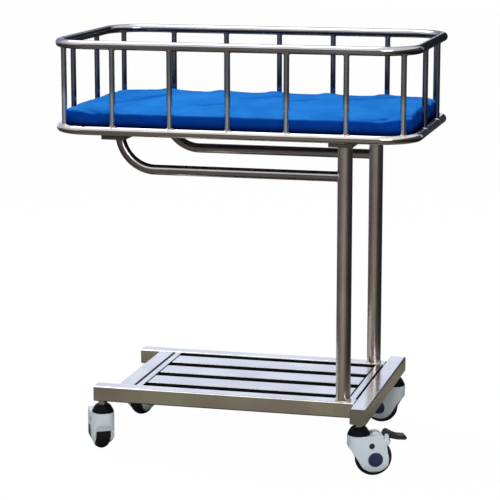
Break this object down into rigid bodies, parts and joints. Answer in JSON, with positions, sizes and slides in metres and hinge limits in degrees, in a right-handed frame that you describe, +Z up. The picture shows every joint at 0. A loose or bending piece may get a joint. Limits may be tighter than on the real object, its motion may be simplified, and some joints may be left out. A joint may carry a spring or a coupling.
{
  "type": "hospital bassinet",
  "caption": "Newborn bassinet trolley: a spindled steel basket with a blue mattress, carried by posts and swept arms on a slatted base with swivel casters.",
  "frame": {"origin": "floor level under the centre of the basket", "axes": "+X along the basket towards the posts, +Y to the back, +Z up"},
  "size_m": [0.8, 0.4848, 0.915],
  "materials": {
    "polished_steel": "polished stainless steel tube and flat bar",
    "blue_vinyl": "wipe-clean blue vinyl cover, soft sheen",
    "pale_plastic": "moulded pale grey plastic",
    "black_plastic": "moulded black plastic",
    "axle_plastic": "dark blue-grey plastic cap",
    "tyre": "black polyurethane"
  },
  "bodies": {
    "frame": {"top_rail": "polished_steel", "bottom_rail": "polished_steel", "spindle_front_1": "polished_steel", "spindle_back_1": "polished_steel", "spindle_front_2": "polished_steel", "spindle_back_2": "polished_steel", "spindle_front_3": "polished_steel", "spindle_back_3": "polished_steel", "spindle_front_4": "polished_steel", "spindle_back_4": "polished_steel", "spindle_front_5": "polished_steel", "spindle_back_5": "polished_steel", "spindle_left_front": "polished_steel", "spindle_corner_left_front": "polished_steel", "spindle_left_back": "polished_steel", "spindle_corner_left_back": "polished_steel", "spindle_right_front": "polished_steel", "spindle_corner_right_front": "polished_steel", "spindle_right_back": "polished_steel", "spindle_corner_right_back": "polished_steel", "deck": "polished_steel", "deck_bar_left": "polished_steel", "deck_bar_right": "polished_steel", "post_front": "polished_steel", "arm_front": "polished_steel", "post_back": "polished_steel", "arm_back": "polished_steel", "base_rail_front": "polished_steel", "base_rail_back": "polished_steel", "base_cross_right": "polished_steel", "base_cross_left": "polished_steel", "shelf_strip_left": "polished_steel", "shelf_strip_right": "polished_steel", "shelf_slat_1": "polished_steel", "shelf_slat_2": "polished_steel", "shelf_slat_3": "polished_steel", "caster_stem_left_front": "polished_steel", "caster_stem_left_back": "polished_steel", "caster_stem_right_front": "polished_steel", "caster_stem_right_back": "polished_steel"},
    "caster_left_front": {"caster_fork_left_front": "pale_plastic", "caster_cap_left_front": "black_plastic", "caster_axle_left_front": "axle_plastic"},
    "wheel_left_front": {"caster_wheel_left_front": "tyre"},
    "caster_left_back": {"caster_fork_left_back": "pale_plastic", "caster_cap_left_back": "black_plastic", "caster_axle_left_back": "axle_plastic"},
    "wheel_left_back": {"caster_wheel_left_back": "tyre"},
    "caster_right_front": {"caster_fork_right_front": "pale_plastic", "caster_cap_right_front": "black_plastic", "caster_axle_right_front": "axle_plastic"},
    "wheel_right_front": {"caster_wheel_right_front": "tyre"},
    "pedal_right_front": {"caster_pedal_right_front": "black_plastic"},
    "caster_right_back": {"caster_fork_right_back": "pale_plastic", "caster_cap_right_back": "black_plastic", "caster_axle_right_back": "axle_plastic"},
    "wheel_right_back": {"caster_wheel_right_back": "tyre"},
    "pedal_right_back": {"caster_pedal_right_back": "black_plastic"},
    "mattress": {"mattress": "blue_vinyl"}
  },
  "joints": [
    {"name": "swivel_left_front", "type": "hinge", "parent": "frame", "child": "caster_left_front", "pos_m": [-0.302, -0.175, 0.1], "axis": [0, 0, 1], "continuous": true},
    {"name": "roll_left_front", "type": "hinge", "parent": "caster_left_front", "child": "wheel_left_front", "pos_m": [-0.31702, -0.14675, 0.04], "axis": [-0.8829, -0.4695, 0], "continuous": true},
    {"name": "swivel_left_back", "type": "hinge", "parent": "frame", "child": "caster_left_back", "pos_m": [-0.302, 0.175, 0.1], "axis": [0, 0, 1], "continuous": true},
    {"name": "roll_left_back", "type": "hinge", "parent": "caster_left_back", "child": "wheel_left_back", "pos_m": [-0.31028, 0.14409, 0.04], "axis": [0.9659, -0.2588, 0], "continuous": true},
    {"name": "swivel_right_front", "type": "hinge", "parent": "frame", "child": "caster_right_front", "pos_m": [0.2818, -0.213, 0.1], "axis": [0, 0, 1], "continuous": true},
    {"name": "roll_right_front", "type": "hinge", "parent": "caster_right_front", "child": "wheel_right_front", "pos_m": [0.31126, -0.2005, 0.04], "axis": [-0.3907, 0.9205, 0], "continuous": true},
    {"name": "brake_right_front", "type": "hinge", "parent": "caster_right_front", "child": "pedal_right_front", "pos_m": [0.33427, -0.19073, 0.0894], "axis": [-0.3907, 0.9205, 0], "range_deg": [0, 10]},
    {"name": "swivel_right_back", "type": "hinge", "parent": "frame", "child": "caster_right_back", "pos_m": [0.2818, 0.213, 0.1], "axis": [0, 0, 1], "continuous": true},
    {"name": "roll_right_back", "type": "hinge", "parent": "caster_right_back", "child": "wheel_right_back", "pos_m": [0.24992, 0.21579, 0.04], "axis": [-0.0872, -0.9962, 0], "continuous": true},
    {"name": "brake_right_back", "type": "hinge", "parent": "caster_right_back", "child": "pedal_right_back", "pos_m": [0.22502, 0.21797, 0.0894], "axis": [-0.0872, -0.9962, 0], "range_deg": [0, 10]},
    {"name": "mattress_lift", "type": "slide", "parent": "frame", "child": "mattress", "axis": [0, 0, 1], "range_m": [0, 0.25]}
  ]
}
